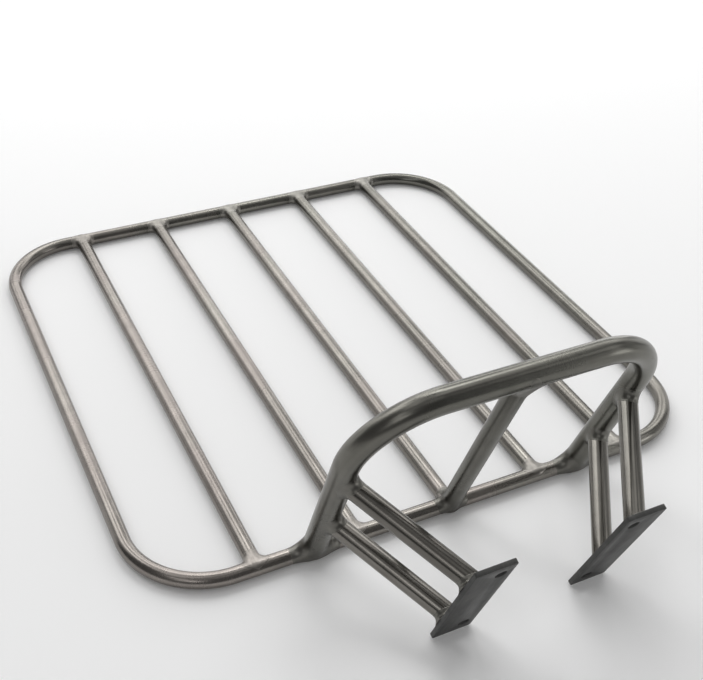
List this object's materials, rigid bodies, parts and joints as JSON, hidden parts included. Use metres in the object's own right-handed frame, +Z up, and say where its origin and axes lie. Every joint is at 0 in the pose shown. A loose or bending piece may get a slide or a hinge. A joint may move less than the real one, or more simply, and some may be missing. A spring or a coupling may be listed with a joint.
{
  "type": "bicycle rear rack",
  "caption": "Welded round-tube bicycle rack with a flat square slatted deck, a forward-leaning hoop at its front rail and paired legs to two bolt-on mounting plates.",
  "frame": {"origin": "middle of the bounding box across and along the rack, level with the underside of the deck tubes", "axes": "+X to the rack's right seen from behind the deck facing the hoop, +Y from the hoop towards the free rear end of the deck, +Z up, square to the deck"},
  "size_m": [0.4, 0.5082, 0.1549],
  "materials": {
    "deck_steel": "satin raw stainless tube",
    "hoop_steel": "satin raw stainless tube, slightly darker",
    "plate_steel": "flat bar with mill finish",
    "weld_bead": "brushed weld bead"
  },
  "bodies": {
    "root": {"deck_loop": "deck_steel", "slat_1": "deck_steel", "slat_2": "deck_steel", "slat_3": "deck_steel", "slat_4": "deck_steel", "slat_5": "deck_steel", "hoop": "hoop_steel", "hoop_strut": "hoop_steel", "leg_upper_left": "hoop_steel", "leg_lower_left": "hoop_steel", "plate_left": "plate_steel", "hoop_foot_weld_left": "weld_bead", "leg_hoop_welds_left": "weld_bead", "leg_plate_welds_left": "weld_bead", "leg_upper_right": "hoop_steel", "leg_lower_right": "hoop_steel", "plate_right": "plate_steel", "hoop_foot_weld_right": "weld_bead", "leg_hoop_welds_right": "weld_bead", "leg_plate_welds_right": "weld_bead", "slat_welds_front": "weld_bead", "slat_welds_rear": "weld_bead", "strut_foot_weld": "weld_bead", "strut_top_weld": "weld_bead"}
  },
  "joints": []
}
